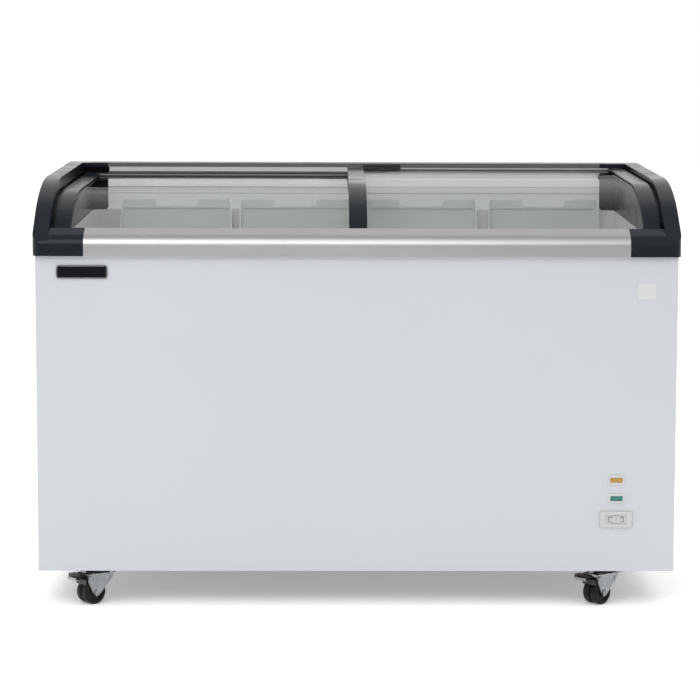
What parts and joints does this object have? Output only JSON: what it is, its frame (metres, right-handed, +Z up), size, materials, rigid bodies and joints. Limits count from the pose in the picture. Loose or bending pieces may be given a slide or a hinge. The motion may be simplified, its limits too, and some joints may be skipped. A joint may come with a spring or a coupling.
{
  "type": "chest freezer",
  "caption": "Display chest freezer with curved sliding glass lids over lift-out bins, a sloping dark canopy, front controls and swivel casters with brakes.",
  "frame": {"origin": "on the floor under the middle of the freezer", "axes": "+X along the length towards the controls, +Y from the front to the rear, +Z up"},
  "size_m": [1.3, 0.67, 0.89],
  "materials": {
    "white_steel": "white powder coat",
    "galvanised": "galvanised sheet",
    "aluminium": "brushed, anodised",
    "dark_plastic": "fine grain moulded",
    "grey_plastic": "extruded",
    "hood": "dark grey coat",
    "liner": "smooth white coat",
    "white_plastic": "smooth moulded",
    "foam": "rigid closed-cell foam",
    "lid_frame": "satin moulded",
    "glass": "clear tempered",
    "black_plastic": "moulded",
    "nylon": "nylon",
    "seal": "soft strip",
    "rubber": "moulded",
    "zinc": "zinc plated",
    "wheel": "black nylon tread",
    "copper": "drawn copper tube",
    "black_steel": "black enamel",
    "fins": "thin fins",
    "amber": "translucent",
    "green": "translucent",
    "silver": "satin plated rim"
  },
  "bodies": {
    "cabinet": {"front_panel": "white_steel", "rear_panel": "galvanised", "left_panel": "white_steel", "right_panel": "white_steel", "base_pan": "galvanised", "foam_insulation": "foam", "inner_liner": "liner", "front_rail": "aluminium", "front_track": "grey_plastic", "rear_hood": "hood", "rear_track": "grey_plastic", "end_cap_left": "dark_plastic", "end_cap_right": "dark_plastic", "badge_plate": "silver", "storage_bin_1": "white_plastic", "storage_bin_2": "white_plastic", "storage_bin_3": "white_plastic", "storage_bin_4": "white_plastic", "caster_plates": "zinc", "caster_bolts": "zinc", "evaporator_coil": "copper", "refrigerant_tubes": "copper", "compressor": "black_steel", "compressor_mounts": "rubber", "condenser": "fins", "fan_motor": "black_steel", "thermostat_plate": "white_plastic", "lamp_bezels": "white_plastic", "amber_lens": "amber", "green_lens": "green", "vent_grille": "dark_plastic", "cable_gland": "black_plastic", "screws": "zinc"},
    "lid_left": {"lid_left_glass": "glass", "lid_left_end_stile": "lid_frame", "lid_left_centre_stile": "lid_frame", "lid_left_rear_bar": "lid_frame", "lid_left_front_bar": "lid_frame", "lid_left_glides": "nylon", "lid_left_seal": "seal"},
    "lid_right": {"lid_right_glass": "glass", "lid_right_end_stile": "lid_frame", "lid_right_centre_stile": "lid_frame", "lid_right_rear_bar": "lid_frame", "lid_right_front_bar": "lid_frame", "lid_right_glides": "nylon", "lid_right_seal": "seal"},
    "thermostat_knob": {"thermostat_dial": "white_plastic"},
    "fan": {"fan_blade": "black_plastic"},
    "plug": {"drain_plug": "rubber"},
    "swivel_1": {"caster_fork_1": "zinc"},
    "wheels_1": {"caster_wheels_1": "wheel"},
    "swivel_2": {"caster_fork_2": "zinc"},
    "wheels_2": {"caster_wheels_2": "wheel"},
    "swivel_3": {"caster_fork_3": "zinc"},
    "wheels_3": {"caster_wheels_3": "wheel"},
    "swivel_4": {"caster_fork_4": "zinc"},
    "wheels_4": {"caster_wheels_4": "wheel"},
    "brake_1": {"caster_brake_1": "black_plastic"},
    "brake_2": {"caster_brake_2": "black_plastic"}
  },
  "joints": [
    {"name": "lid_left_slide", "type": "slide", "parent": "cabinet", "child": "lid_left", "axis": [1, 0, 0], "range_m": [0, 0.566]},
    {"name": "lid_right_slide", "type": "slide", "parent": "cabinet", "child": "lid_right", "axis": [-1, 0, 0], "range_m": [0, 0.566]},
    {"name": "thermostat_turn", "type": "hinge", "parent": "cabinet", "child": "thermostat_knob", "pos_m": [0.526, -0.325, 0.1785], "axis": [0, 1, 0], "range_deg": [-135, 135]},
    {"name": "fan_spin", "type": "hinge", "parent": "cabinet", "child": "fan", "pos_m": [0.575, -0.17, 0.185], "axis": [1, 0, 0], "continuous": true},
    {"name": "drain_plug_pull", "type": "slide", "parent": "cabinet", "child": "plug", "axis": [0, 0, 1], "range_m": [0, 0.04]},
    {"name": "swivel_1_turn", "type": "hinge", "parent": "cabinet", "child": "swivel_1", "pos_m": [-0.526, -0.286, 0.06], "axis": [0, 0, 1], "continuous": true},
    {"name": "wheels_1_roll", "type": "hinge", "parent": "swivel_1", "child": "wheels_1", "pos_m": [-0.54132, -0.29886, 0.025], "axis": [0.6428, -0.766, 0], "continuous": true},
    {"name": "brake_1_press", "type": "hinge", "parent": "swivel_1", "child": "brake_1", "pos_m": [-0.55281, -0.3085, 0.055], "axis": [0.6428, -0.766, 0], "range_deg": [0, 10]},
    {"name": "swivel_2_turn", "type": "hinge", "parent": "cabinet", "child": "swivel_2", "pos_m": [0.5075, -0.286, 0.06], "axis": [0, 0, 1], "continuous": true},
    {"name": "wheels_2_roll", "type": "hinge", "parent": "swivel_2", "child": "wheels_2", "pos_m": [0.49264, -0.29938, 0.025], "axis": [0.6691, -0.7431, 0], "continuous": true},
    {"name": "brake_2_press", "type": "hinge", "parent": "swivel_2", "child": "brake_2", "pos_m": [0.48149, -0.30942, 0.055], "axis": [0.6691, -0.7431, 0], "range_deg": [0, 10]},
    {"name": "swivel_3_turn", "type": "hinge", "parent": "cabinet", "child": "swivel_3", "pos_m": [-0.526, 0.286, 0.06], "axis": [0, 0, 1], "continuous": true},
    {"name": "wheels_3_roll", "type": "hinge", "parent": "swivel_3", "child": "wheels_3", "pos_m": [-0.54132, 0.27314, 0.025], "axis": [0.6428, -0.766, 0], "continuous": true},
    {"name": "swivel_4_turn", "type": "hinge", "parent": "cabinet", "child": "swivel_4", "pos_m": [0.5075, 0.286, 0.06], "axis": [0, 0, 1], "continuous": true},
    {"name": "wheels_4_roll", "type": "hinge", "parent": "swivel_4", "child": "wheels_4", "pos_m": [0.49264, 0.27262, 0.025], "axis": [0.6691, -0.7431, 0], "continuous": true}
  ]
}
